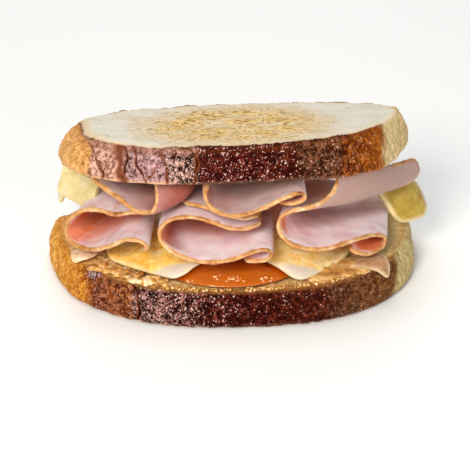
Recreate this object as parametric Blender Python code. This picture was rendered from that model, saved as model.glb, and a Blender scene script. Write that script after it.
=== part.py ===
"""Grilled ham and cheese sandwich: two toasted loaf slices around folded ham, cheese and jam.

Lengths are written in millimetres and turned into metres where a mesh is made.
X runs along the slices, Y from the front of the sandwich to its back, Z up.
The origin is on the flat underside of the lower slice.
"""
import math

import bmesh
import bpy
import numpy as np

MM = 0.001
SEED = 27

# Outlines of the slices' lower and upper faces: an oval front and a boxier back. The powers
# round the left front, the right front and the back, where 2 is a true oval, more is squarer.
LOWER_FACES = (
    dict(half_length=75.0, front=74.0, back=16.0, middle=(1.0, 28.0), powers=(2.35, 2.4, 3.0)),
    dict(half_length=71.6, front=70.6, back=13.5, middle=(1.0, 28.0), powers=(2.35, 2.4, 3.0)),
)
UPPER_FACES = (
    dict(half_length=70.0, front=57.0, back=21.0, middle=(0.0, 12.0), powers=(2.5, 2.0, 2.1)),
    dict(half_length=63.6, front=53.2, back=18.2, middle=(2.6, 12.0), powers=(2.6, 2.0, 2.5)),
)
LOWER_THICKNESS = 15.5
UPPER_THICKNESS = 14.3
CRUST_BULGE = 0.6
CRUST_BUMPS = ((3, 0.5), (5, 0.45), (9, 0.35), (14, 0.3), (23, 0.25))
EDGE_ROUNDING = 1.4

# The upper slice leans back on the filling
UPPER_TILT = math.radians(9.0)
UPPER_ROLL = math.radians(0.4)
UPPER_MIDDLE_HEIGHT = 53.7

# The filling's room between the slices, as levels up and depths back
ROOM_HEIGHT = 42.5
ROOM_DEPTH = 84.0
FILLING_FRONT_Y = -44.0
FILLING_BACK_Y = 40.0
LOWEST_LEVEL = 1.9
HIGHEST_LEVEL = 40.6

TOUCH_GAP = 0.35
HAM_THICKNESS = 1.8
CHEESE_THICKNESS = 2.4
CORNER_THICKNESS = 1.5
CORNER_LIE = LOWER_THICKNESS + TOUCH_GAP + 0.35 + CORNER_THICKNESS / 2

# Jam: a low dome on the lower slice, showing between the two front cheese corners
JAM_MIDDLE = (-3.0, -3.0)
JAM_HALF_LENGTH = 36.0
JAM_HALF_DEPTH = 39.2
JAM_HEIGHT = 3.9
JAM_RIM = 0.6

# Front cheese slices: each one's corner, where it is cut off left and right, and the square
# corner's slope and back edge
FRONT_CHEESES = {
    "cheese_front_left": dict(corner=(-25.5, -38.6), left=-52.5, right=-3.2),
    "cheese_front_right": dict(corner=(21.5, -41.4), left=-1.6, right=48.5),
}
FRONT_CHEESE_SLOPE = 0.98
FRONT_CHEESE_BACK = 36.0

# Side cheese slices: points of length and level, the depth of the front edge and how far it
# sags at evenly spaced stations along them, and the depth of the back edge
SIDE_CHEESES = {
    "cheese_side_right": dict(
        path=[(50, 21.4), (58, 22.0), (65, 21.8), (71, 20.0), (75.6, 16.0), (78.6, 10.4), (79.8, 4.6)],
        first=(36, 34, 15, 14, 17, 22), last=54, sag=(0, 1, 17, 15, 9, 0)),
    "cheese_side_left": dict(
        path=[(-47, 29.4), (-54, 29.0), (-60, 27.4), (-65, 23.6), (-68, 18.5), (-69, 14)],
        first=(34, 44), last=80, sag=(0,)),
}

# Cheese corners that bend over the lower crust: the point on its edge, the heading in degrees,
# the drape as height against distance outwards, and half the width along it
CHEESE_CORNERS = {
    "cheese_corner_right": dict(
        edge_point=(53.5, -25.5), heading=-45,
        drape=[(-7, CORNER_LIE), (-3, CORNER_LIE), (0.8, CORNER_LIE), (4, 15.2), (5.6, 12)],
        half_widths=(8, 8.5, 7, 4, 0.8)),
    "cheese_corner_left": dict(
        edge_point=(-62.5, -9.5), heading=-128,
        drape=[(-8, CORNER_LIE), (-4, CORNER_LIE), (0.6, CORNER_LIE), (3.6, 15.6)],
        half_widths=(4.5, 5.5, 5, 0.8)),
}

# Ham folds, each seen from the front as points of length and height. What varies along a
# fold is read from evenly spaced stations: the depth of its rim and of its back edge, the
# drift to the right towards the back, the depth that most of the drift takes, and the level
# lost on the way.
HAM_FOLDS = {
    "ham_lower_left": dict(
        path=[(-38, 42.6), (-43, 41.5), (-49, 39.2), (-55, 39.0), (-62, 35.5), (-67, 29), (-68, 23.4),
              (-64.5, 20.6), (-58, 22), (-51, 27.2), (-46, 31.8), (-41, 33.2), (-37.6, 32.4),
              (-36.7, 29.8), (-38.2, 27.6)],
        rim=(8, 8, 3, 0, 0), back=(83,), drift=(9, 12, 16, 12, 8), reach=(200,), sink=(0,)),
    "ham_lower_middle": dict(
        path=[(7.4, 38.8), (2, 38), (-5, 38.8), (-13, 42.4), (-20, 44.6), (-27, 43.8), (-31.4, 40.5),
              (-32.4, 36), (-29.5, 31.8), (-22, 28.8), (-13, 27.8), (-5, 29), (2, 31.6), (8, 32.6),
              (10.8, 30), (9, 27.2), (4, 26.2), (0, 25.9)],
        rim=(8, 8, 3, 0, 0, 1), back=(83,), drift=(9,), reach=(200,), sink=(0, 0, 0, 0, 0, -1.2)),
    "ham_lower_right": dict(
        path=[(42, 24.6), (47, 21.6), (52.5, 20), (57.6, 21), (57.6, 24.6), (51, 28), (42, 29.4),
              (32, 29.2), (23, 31), (16, 35), (12.9, 40), (13.2, 44.4), (17, 46.6), (23, 47),
              (30, 48.2), (35, 51.4), (36.6, 57)],
        rim=(-1, -4, -1, 0, 1, 3, 6, 8), back=(82, 82, 82, 82, 82, 60, 25, 22),
        drift=(9, 9, 9, 9, 9, 12, 48, 41), reach=(200, 200, 200, 200, 100, 50, 6, 5),
        sink=(0, 0, 0, 0, 0, 0, 9, 5.5)),
    "ham_upper_left": dict(
        path=[(-58, 52.6), (-53.5, 51), (-47.5, 48.4), (-42, 45.6), (-37.6, 45.2), (-34.6, 48.4),
              (-33.5, 53), (-33.8, 57.4)],
        rim=(3, 3, 3, 1, 1, 2, 3), back=(83,), drift=(8, 8, 8, 12, 16, 17, 17),
        reach=(40, 40, 30, 12, 8, 7, 7), sink=(0, 0, -2, -4, -3.5, -1.5, 0)),
    "ham_upper_middle": dict(
        path=[(-13.5, 58.6), (-15, 55), (-13.2, 51), (-8, 47.8), (-2, 47.4), (4, 48.9), (10, 51.5),
              (16, 54), (21, 55), (23.4, 53.2), (22, 50.9), (17.5, 49.9), (13, 50.1)],
        rim=(2, 0, 0, 0, 2), back=(83,), drift=(5,), reach=(200,), sink=(0,)),
    "ham_flat": dict(
        path=[(-22.5, 47.4), (-18, 47.5), (-13, 46.4), (-8, 43.9), (0, 42.0), (7, 42.5)],
        rim=(13, 11), back=(62,), drift=(8,), reach=(200,), sink=(0,)),
}
HAM_CORNER_ROUNDING = 0.12


def clear_scene():
    """Remove every object that the file opens with."""
    for thing in list(bpy.data.objects):
        bpy.data.objects.remove(thing, do_unlink=True)


def make_material(name, colour, roughness, metallic=0.0):
    """Return a plain Principled material."""
    made = bpy.data.materials.new(name)
    made.use_nodes = True
    shader = made.node_tree.nodes["Principled BSDF"]
    shader.inputs["Base Color"].default_value = (*colour, 1.0)
    shader.inputs["Roughness"].default_value = roughness
    shader.inputs["Metallic"].default_value = metallic
    made.diffuse_color = (*colour, 1.0)
    return made


def make_object(name, points, faces, material):
    """Turn millimetre points and faces into a closed, smooth-shaded object facing out."""
    mesh = bpy.data.meshes.new(name)
    mesh.from_pydata([tuple(MM * c for c in p) for p in points], [], faces)
    work = bmesh.new()
    work.from_mesh(mesh)
    bmesh.ops.recalc_face_normals(work, faces=work.faces)
    work.to_mesh(mesh)
    work.free()
    mesh.materials.append(material)
    mesh.shade_smooth()
    mesh.set_sharp_from_angle(angle=math.radians(50))
    made = bpy.data.objects.new(name, mesh)
    bpy.context.scene.collection.objects.link(made)
    return made


def stack_rings(name, rings, first_middle, last_middle, material):
    """Join equal rings of points into a closed body, with a middle point at each end."""
    around = len(rings[0])
    points = [p for ring in rings for p in ring] + [first_middle, last_middle]
    last = (len(rings) - 1) * around
    faces = []
    for i in range(around):
        j = (i + 1) % around
        for base in range(0, last, around):
            faces.append((base + i, base + j, base + around + j, base + around + i))
        faces.append((len(points) - 2, j, i))
        faces.append((len(points) - 1, last + i, last + j))
    return make_object(name, points, faces, material)


def slice_outline(angle, outline):
    """Point of a loaf slice's outline."""
    c, s = math.cos(angle), math.sin(angle)
    left_front, right_front, back = outline["powers"]
    reach = outline["front"] if s < 0 else outline["back"]
    power = back if s >= 0 else left_front if c < 0 else right_front
    x = outline["middle"][0] + outline["half_length"] * math.copysign(abs(c) ** (2.0 / power), c)
    y = outline["middle"][1] + reach * math.copysign(abs(s) ** (2.0 / power), s)
    return np.array([x, y])


def crust_relief(angle, height_share, draws):
    """Bumps of the baked crust, out of the slice's side."""
    bumps = sum(size * math.sin(waves * angle + turn + rake * height_share)
                for waves, size, turn, rake in draws)
    return bumps * math.sin(math.pi * height_share) ** 0.5


def build_bread(name, faces, thickness, rng, material, around=88):
    """A slice built from rings: underside, bumpy crust side, upper face."""
    draws = [(waves, size, rng.uniform(0, 2 * math.pi), rng.uniform(-1.5, 1.5))
             for waves, size in CRUST_BUMPS]
    angles = [2 * math.pi * i / around for i in range(around)]
    low_edge, high_edge = ([slice_outline(angle, face) for angle in angles] for face in faces)
    low_middle, high_middle = (np.array(face["middle"]) for face in faces)

    def side_ring(share, inset):
        edge = [low + (high - low) * share ** 1.5 for low, high in zip(low_edge, high_edge)]
        ring = []
        for i, angle in enumerate(angles):
            run = edge[(i + 1) % around] - edge[i - 1]
            outward = np.array([run[1], -run[0]]) / np.linalg.norm(run)
            reach = CRUST_BULGE * math.sin(math.pi * share) + crust_relief(angle, share, draws) - inset
            ring.append((*(edge[i] + outward * reach), thickness * share))
        return ring

    def face_ring(source, middle, share):
        return [(*(middle + (np.array(p[:2]) - middle) * share), p[2]) for p in source]

    side = [side_ring(0.0, EDGE_ROUNDING), side_ring(0.08, 0.3)]
    side += [side_ring(share, 0.0) for share in (0.28, 0.5, 0.72)]
    side += [side_ring(0.92, 0.3), side_ring(1.0, EDGE_ROUNDING)]
    rings = [face_ring(side[0], low_middle, share) for share in (0.35, 0.7)]
    rings += side
    rings += [face_ring(side[-1], high_middle, share) for share in (0.7, 0.35)]
    return stack_rings(name, rings, (*low_middle, 0.0), (*high_middle, thickness), material)


def tilt_back(made):
    """Lay the upper slice on the filling; its own origin is at its underside."""
    made.rotation_euler = (-UPPER_TILT, -UPPER_ROLL, 0.0)
    made.location = (0.0, 0.0, UPPER_MIDDLE_HEIGHT * MM)


def underside_height(x, y):
    """Height of the upper slice's underside over the point (x, y)."""
    return UPPER_MIDDLE_HEIGHT - y * math.tan(UPPER_TILT) + x * math.tan(UPPER_ROLL)


def front_line(x):
    """Y of the filling's front edge, which follows the rounded front of the lower slice."""
    bend = 0.0045 * x ** 2 + 1.35e-6 * x ** 4
    return FILLING_FRONT_Y + 55.0 * math.tanh(bend / 55.0)


def place(x, depth, level):
    """World point of a filling point given by length, depth from the front, and level.

    Level runs from 0 on the lower slice to ROOM_HEIGHT at the upper one, so pieces that
    keep apart here also keep apart where the tilted slice squeezes them.
    """
    share = depth / ROOM_DEPTH
    y = front_line(x) * (1.0 - share) + FILLING_BACK_Y * share
    room = underside_height(x, y) - LOWER_THICKNESS
    return np.array([x, y, LOWER_THICKNESS + level * room / ROOM_HEIGHT])


def level_of(x, z):
    """Level of a height that is given at the filling's front."""
    room = underside_height(x, front_line(x)) - LOWER_THICKNESS
    return (z - LOWER_THICKNESS) * ROOM_HEIGHT / room


def at_share(stations, share):
    """Read evenly spaced stations at a share of the way along."""
    return float(np.interp(share, np.linspace(0.0, 1.0, len(stations)), stations))


def smooth_path(knots, count):
    """Catmull-Rom curve through flat points, read at even steps along its length."""
    knots = np.array(knots, float)
    ends = np.vstack([2 * knots[0] - knots[1], knots, 2 * knots[-1] - knots[-2]])
    fine = []
    for i in range(1, len(ends) - 2):
        before, here, there, after = ends[i - 1:i + 3]
        for t in np.linspace(0.0, 1.0, 24, endpoint=False):
            fine.append(0.5 * (2 * here + (there - before) * t
                               + (2 * before - 5 * here + 4 * there - after) * t ** 2
                               + (3 * here - before - 3 * there + after) * t ** 3))
    fine = np.array(fine + [knots[-1]])
    travelled = np.concatenate([[0.0], np.cumsum(np.linalg.norm(np.diff(fine, axis=0), axis=1))])
    reads = np.linspace(0.0, travelled[-1], count)
    return np.stack([np.interp(reads, travelled, fine[:, 0]), np.interp(reads, travelled, fine[:, 1])], 1)


def build_sheet(name, grid, thickness, material):
    """Close a grid of middle points into a sheet of one thickness."""
    rows, columns, _ = grid.shape
    normal = np.cross(np.gradient(grid, axis=0), np.gradient(grid, axis=1))
    normal /= np.linalg.norm(normal, axis=2, keepdims=True)
    upper = (grid + normal * thickness / 2).reshape(-1, 3)
    lower = (grid - normal * thickness / 2).reshape(-1, 3)
    below = rows * columns
    faces = []
    for i in range(rows - 1):
        for j in range(columns - 1):
            a, b = i * columns + j, (i + 1) * columns + j
            faces.append((a, b, b + 1, a + 1))
            faces.append((below + a, below + a + 1, below + b + 1, below + b))
    border = list(range(columns))
    border += [i * columns + columns - 1 for i in range(1, rows)]
    border += [(rows - 1) * columns + j for j in range(columns - 2, -1, -1)]
    border += [i * columns for i in range(rows - 2, 0, -1)]
    for here, there in zip(border, border[1:] + border[:1]):
        faces.append((here, there, below + there, below + here))
    return make_object(name, np.vstack([upper, lower]), faces, material)


def dome_height(x, y, spread, height):
    """Height of a flat-topped dome over the jam's footprint, widened by the spread."""
    r = math.hypot((x - JAM_MIDDLE[0]) / JAM_HALF_LENGTH, (y - JAM_MIDDLE[1]) / JAM_HALF_DEPTH)
    return height * max(0.0, 1.0 - (r / spread) ** 4) ** 0.6


def build_jam(material, around=28):
    """The dome of jam, flat underneath."""
    base = LOWER_THICKNESS + TOUCH_GAP

    def ring(share, on_top):
        points = []
        for i in range(around):
            angle = 2 * math.pi * i / around
            x = JAM_MIDDLE[0] + JAM_HALF_LENGTH * share * math.cos(angle)
            y = JAM_MIDDLE[1] + JAM_HALF_DEPTH * share * math.sin(angle)
            z = base + JAM_RIM + dome_height(x, y, 1.0, JAM_HEIGHT) if on_top else base
            points.append((x, y, z))
        return points

    rings = [ring(share, False) for share in (0.4, 0.75, 0.97)]
    rings += [ring(share, True) for share in (1.0, 0.97, 0.88, 0.7, 0.4)]
    top = (*JAM_MIDDLE, base + JAM_RIM + JAM_HEIGHT)
    return stack_rings("jam", rings, (*JAM_MIDDLE, base), top, material)


def build_front_cheese(name, material, columns=13, rows=8):
    """A cheese slice with one corner to the front, running back under the ham, over the jam."""
    shape = FRONT_CHEESES[name]
    grid = np.zeros((columns, rows, 3))
    lie = LOWER_THICKNESS + TOUCH_GAP + CHEESE_THICKNESS / 2 + 0.1
    for i, x in enumerate(np.linspace(shape["left"], shape["right"], columns)):
        front = shape["corner"][1] + abs(x - shape["corner"][0]) * FRONT_CHEESE_SLOPE
        for j in range(rows):
            y = front + (FRONT_CHEESE_BACK - front) * (j / (rows - 1)) ** 1.3
            grid[i, j] = (x, y, lie + dome_height(x, y, 1.12, JAM_HEIGHT + 1.15))
    return build_sheet(name, grid, CHEESE_THICKNESS, material)


def build_side_cheese(name, material, along=12, across=8):
    """A soft cheese slice that sticks out at the side between ham folds and droops there."""
    shape = SIDE_CHEESES[name]
    grid = np.zeros((along, across, 3))
    for i, (x, level) in enumerate(smooth_path(shape["path"], along)):
        start, drop = (at_share(shape[key], i / (along - 1)) for key in ("first", "sag"))
        for j in range(across):
            share = j / (across - 1)
            depth = start + (shape["last"] - start) * share
            grid[i, j] = place(x, depth, level - drop * (1.0 - share) ** 2.5)
    return build_sheet(name, grid, CHEESE_THICKNESS, material)


def build_corner(name, material, along=9, columns=5):
    """A slice's corner that lies on the bread and bends over its crust."""
    shape = CHEESE_CORNERS[name]
    heading = math.radians(shape["heading"])
    out = np.array([math.cos(heading), math.sin(heading)])
    aside = np.array([-out[1], out[0]])
    grid = np.zeros((along, columns, 3))
    for i, (distance, z) in enumerate(smooth_path(shape["drape"], along)):
        half = at_share(shape["half_widths"], i / (along - 1))
        for j, sideways in enumerate(np.linspace(-half, half, columns)):
            grid[i, j] = (*(np.array(shape["edge_point"]) + out * distance + aside * sideways), z)
    return build_sheet(name, grid, CORNER_THICKNESS, material)


def ham_grid(fold, along, across):
    """Middle points of a folded slice: its path swept back, with rounded corners."""
    grid = np.zeros((along, across, 3))
    for i, (x, z) in enumerate(smooth_path(fold["path"], along)):
        share = i / (along - 1)
        rim, back, drift, reach, sink = (at_share(fold[key], share)
                                         for key in ("rim", "back", "drift", "reach", "sink"))
        towards_end = 0.97 * abs(2.0 * share - 1.0)
        round_off = HAM_CORNER_ROUNDING * (back - rim) * (1.0 - (1.0 - towards_end ** 6) ** 0.5)
        first = rim + round_off
        last = back - 2.0 * round_off
        full = 1.0 - math.exp(-ROOM_DEPTH / reach)
        for j in range(across):
            depth = first + (last - first) * (j / (across - 1)) ** 1.6
            gone = (1.0 - math.exp(-(depth - first) / reach)) / full
            level = min(max(level_of(x, z) - sink * gone, LOWEST_LEVEL), HIGHEST_LEVEL)
            grid[i, j] = place(x + drift * gone, depth, level)
    return grid


def build_ham(name, material):
    """One thin folded slice of ham."""
    along, across = (14, 7) if name == "ham_flat" else (33, 10)
    return build_sheet(name, ham_grid(HAM_FOLDS[name], along, across), HAM_THICKNESS, material)


def main():
    clear_scene()
    rng = np.random.default_rng(SEED)
    crust = make_material("crust", (0.22, 0.07, 0.03), 0.5)
    ham = make_material("ham", (0.78, 0.5, 0.48), 0.4)
    cheese = make_material("cheese", (0.85, 0.68, 0.3), 0.35)
    jam = make_material("jam", (0.7, 0.22, 0.02), 0.15)

    build_bread("bread_bottom", LOWER_FACES, LOWER_THICKNESS, rng, crust)
    tilt_back(build_bread("bread_top", UPPER_FACES, UPPER_THICKNESS, rng, crust))
    build_jam(jam)
    for name in FRONT_CHEESES:
        build_front_cheese(name, cheese)
    for name in SIDE_CHEESES:
        build_side_cheese(name, cheese)
    for name in CHEESE_CORNERS:
        build_corner(name, cheese)
    for name in HAM_FOLDS:
        build_ham(name, ham)


if __name__ == "__main__":
    main()
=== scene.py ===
"""Grilled ham and cheese sandwich: two toasted loaf slices round folded ham, cheese and jam.

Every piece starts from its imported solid, so it sits where the solid does. X runs along the
slices, Y from the front to the back, Z up, in metres; sizes below are in millimetres.
"""

import math
from functools import partial

import bpy
import numpy as np
from mathutils import Euler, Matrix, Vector, noise
from mathutils.bvhtree import BVHTree
from mathutils.kdtree import KDTree


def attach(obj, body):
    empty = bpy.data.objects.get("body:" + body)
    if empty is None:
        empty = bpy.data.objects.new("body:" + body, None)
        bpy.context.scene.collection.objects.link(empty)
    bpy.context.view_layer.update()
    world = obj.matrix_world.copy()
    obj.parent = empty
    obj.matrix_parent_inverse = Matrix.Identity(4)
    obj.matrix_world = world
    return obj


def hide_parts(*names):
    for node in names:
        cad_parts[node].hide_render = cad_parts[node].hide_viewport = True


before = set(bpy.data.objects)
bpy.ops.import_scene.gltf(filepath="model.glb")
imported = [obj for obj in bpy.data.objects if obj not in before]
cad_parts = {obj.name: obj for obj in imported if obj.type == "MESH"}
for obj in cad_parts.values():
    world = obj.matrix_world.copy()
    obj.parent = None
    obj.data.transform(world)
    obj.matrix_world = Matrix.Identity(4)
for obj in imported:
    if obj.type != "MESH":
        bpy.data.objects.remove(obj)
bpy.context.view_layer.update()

# The lower slice of bread: half a slice of an oval loaf, about 15 mm thick. It is real bread,
# pale porous crumb inside a baked crust that is glossy dark brown in the middle and golden at
# the ends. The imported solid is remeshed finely, then cracked, pitted and roughened.
MM = 0.001
RIM_RANGE = 12.0  # how far in from the crust the bread's material follows its browned rim
FACTOR, UNDER, OVER, MIXED = 0, 6, 7, 2  # the sockets of a Mix node of colours


def linear(code):
    """Linear colour of an sRGB hex code."""
    channels = [int(code[i:i + 2], 16) / 255 for i in (1, 3, 5)]
    return [c / 12.92 if c <= 0.04045 else ((c + 0.055) / 1.055) ** 2.4 for c in channels] + [1.0]


def set_inputs(material, node, inputs):
    """Give each input its value, or a link from an output or from a node's own result."""
    for name, value in inputs.items():
        if isinstance(value, bpy.types.Node):
            value = value.outputs[MIXED if value.bl_idname == "ShaderNodeMix" else 0]
        if isinstance(value, bpy.types.NodeSocket):
            material.node_tree.links.new(value, node.inputs[name])
        else:
            node.inputs[name].default_value = value


def add_node(material, kind, inputs=(), stops=(), **settings):
    """Add a shader node: its settings, its inputs' values or links, and a ramp's stops."""
    node = material.node_tree.nodes.new("ShaderNode" + kind)
    if kind == "Mix":
        node.data_type = "RGBA"  # every mix here is of two colours
    for name, value in settings.items():
        setattr(node, name, value)
    set_inputs(material, node, dict(inputs))
    for i, (place, colour) in enumerate(stops):
        stop = node.color_ramp.elements[i] if i < 2 else node.color_ramp.elements.new(place)
        stop.position = place
        stop.color = linear(colour) if isinstance(colour, str) else (colour, colour, colour, 1.0)
    return node


def new_material(name, **constants):
    """A material, its Principled shader with what is the same all over it, and its add_node."""
    material = bpy.data.materials.new(name)
    material.use_nodes = True
    shader = material.node_tree.nodes["Principled BSDF"]
    for socket, value in constants.items():
        shader.inputs[socket.replace("_", " ")].default_value = value
    return material, shader, partial(add_node, material)


def apply_modifier(piece, kind, **settings):
    """Add a modifier to the active piece, set it and apply it."""
    modifier = piece.modifiers.new(kind.lower(), kind)
    for name, value in settings.items():
        setattr(modifier, name, value)
    bpy.ops.object.modifier_apply(modifier=modifier.name)


def detailed_copy(node, name, levels):
    """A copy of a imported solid, merged into quads and subdivided, for the fine shapes to go on."""
    bpy.ops.object.select_all(action="DESELECT")
    piece = bpy.data.objects.new(name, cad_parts[node].data.copy())
    piece.data.materials.clear()
    bpy.context.scene.collection.objects.link(piece)
    bpy.context.view_layer.objects.active = piece
    piece.select_set(True)
    bpy.ops.mesh.customdata_custom_splitnormals_clear()
    bpy.ops.object.mode_set(mode="EDIT")
    bpy.ops.mesh.select_all(action="SELECT")
    bpy.ops.mesh.remove_doubles(threshold=0.01 * MM)
    bpy.ops.mesh.tris_convert_to_quads(face_threshold=math.radians(60), shape_threshold=math.radians(60))
    bpy.ops.object.mode_set(mode="OBJECT")
    if levels:
        apply_modifier(piece, "SUBSURF", levels=levels, render_levels=levels)
    bpy.ops.object.shade_smooth()
    return piece


def points_of(piece):
    """Points of a piece in millimetres."""
    points = np.empty(len(piece.data.vertices) * 3, np.float32)
    piece.data.vertices.foreach_get("co", points)
    return points.reshape(-1, 3).astype(float) / MM


def normals_of(piece):
    """Directions in which a piece's points face."""
    normals = np.empty(len(piece.data.vertices) * 3, np.float32)
    piece.data.vertex_normals.foreach_get("vector", normals)
    return normals.reshape(-1, 3).astype(float)


def ease(values, low, high):
    """Smooth step from 0 at low to 1 at high."""
    share = np.clip((values - low) / (high - low), 0.0, 1.0)
    return share * share * (3.0 - 2.0 * share)


def mark(piece, name, values):
    """Keep a value at each point for the material to read."""
    attribute = piece.data.attributes.new(name, "FLOAT", "POINT")
    attribute.data.foreach_set("value", np.asarray(values, np.float32))


def weigh(piece, name, values):
    """Make a vertex group of values from 0 to 1, in 40 steps, that a modifier can be held to."""
    group, steps = piece.vertex_groups.new(name=name), 40
    levels = np.round(np.clip(values, 0.0, 1.0) * steps).astype(int)
    for level in range(1, steps + 1):
        group.add(np.flatnonzero(levels == level).tolist(), level / steps, "REPLACE")
    return name


def roughen(piece, group, depth, grain, middle=0.5, kind="CLOUDS"):
    """Push a group's surface in and out by a pattern with this depth and grain."""
    pattern = bpy.data.textures.new(f"{piece.name}_{grain}", kind)
    pattern.noise_scale = grain * MM
    apply_modifier(piece, "DISPLACE", texture=pattern, strength=depth * MM, mid_level=middle,
                   vertex_group=group)


def cracks_at(points, share, thickness, cracks, front):
    """How deep each point is in a baked crack that runs up the crust, from 0 to 1."""
    depth = np.zeros(len(points))
    for middle, lean, half_width, strength, low, high in cracks:
        wander = 0.7 * np.sin(5.0 * share + 1.7 * middle) + 0.35 * np.sin(13.0 * share + 3.1 * middle)
        line = middle + lean * thickness * (share - 0.5) + wander
        away = np.abs(points[:, 0] - line)
        reach = ease(share, low - 0.12, low) * (1.0 - ease(share, high, high + 0.12))
        half = half_width * (0.8 + 0.35 * np.sin(9.0 * share + 2.3 * middle))
        depth = np.maximum(depth, strength * reach * (1.0 - ease(away, 0.15 * half, half)))
    return depth * front


def tree_of(points):
    """A tree that finds the nearest of these points."""
    tree = KDTree(len(points))
    for i, point in enumerate(points):
        tree.insert(point, i)
    tree.balance()
    return tree


def inset_of(points, facing):
    """How far in from the crust each point of a slice is, 0 on the crust itself."""
    on_face = np.abs(facing) >= 0.8
    tree = tree_of(points[~on_face][::2])
    inset = np.zeros(len(points))
    for i in np.flatnonzero(on_face):
        inset[i] = max(tree.find(points[i])[2] - 0.5, 0.0)
    return inset


def bread_slice(node, name, euler, origin, thickness, widest_y, half_length, cracks, ragged, pore_depth):
    """Remesh a packed slice, carve its crust and crumb, and keep what its material reads."""
    piece = detailed_copy(node, name, 2)
    piece.data.remesh_voxel_size = 0.56 * MM  # fine enough for the 1 mm blisters
    bpy.ops.object.voxel_remesh()
    apply_modifier(piece, "SMOOTH", factor=0.5, iterations=4)
    bpy.ops.object.shade_smooth()

    turn = np.array(Euler(euler).to_matrix())
    points = (points_of(piece) - origin) @ turn
    facing = (normals_of(piece) @ turn)[:, 2]
    share = points[:, 2] / thickness  # how far up the crust
    inset = inset_of(points, facing)
    wander = np.array([noise.noise(Vector(point) / 3.5) for point in points])
    side = 1.0 - ease(inset + ragged * wander, 0.5, 0.9)
    front = 1.0 - ease(points[:, 1], widest_y - 4.0, widest_y + 4.0)
    back_points = points * (-0.9, 1.0, 1.0)
    crack = np.maximum(cracks_at(points, share, thickness, cracks, front),
                       cracks_at(back_points, share, thickness, cracks, 1.0 - front)) * side
    crumb = (1.0 - side) * ease(share, 0.5, 0.9)
    lift = ease(points[:, 2], 0.1, 1.0)

    mark(piece, "side", side)
    # The rim is wider at the left end, where the loaf was rounder
    wider = 1.0 + 1.6 * ease(-points[:, 0], 0.72 * half_length, 0.95 * half_length)
    mark(piece, "inset", np.minimum(inset / wider / RIM_RANGE, 1.0))
    mark(piece, "share", share)
    mark(piece, "crack", crack)
    mark(piece, "along", np.clip(points[:, 0] / half_length * 0.5 + 0.5, 0.0, 1.0))

    crust_group = weigh(piece, "crust", side * lift)
    crack_group = weigh(piece, "cracks", crack * lift)
    crumb_group = weigh(piece, "crumb", crumb)
    rim_group = weigh(piece, "rim", ease(share, 0.72, 0.95) * (1.0 - ease(inset, 1.0, 2.5)))
    apply_modifier(piece, "DISPLACE", strength=-0.9 * MM, mid_level=0.0, vertex_group=crack_group)
    # Crust: dents of 5 mm, blisters of 2 mm and grains of 1 mm. Crumb: pores of 2.6 and 1 mm
    roughen(piece, crust_group, depth=1.1, grain=5.0)
    roughen(piece, crust_group, depth=0.7, grain=2.0)
    roughen(piece, crust_group, depth=0.45, grain=1.0)
    roughen(piece, rim_group, depth=0.9 * ragged, grain=1.7)
    roughen(piece, crumb_group, depth=pore_depth, grain=2.6, middle=1.0, kind="VORONOI")
    roughen(piece, crumb_group, depth=0.6 * pore_depth, grain=1.0, middle=1.0)
    return piece


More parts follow.
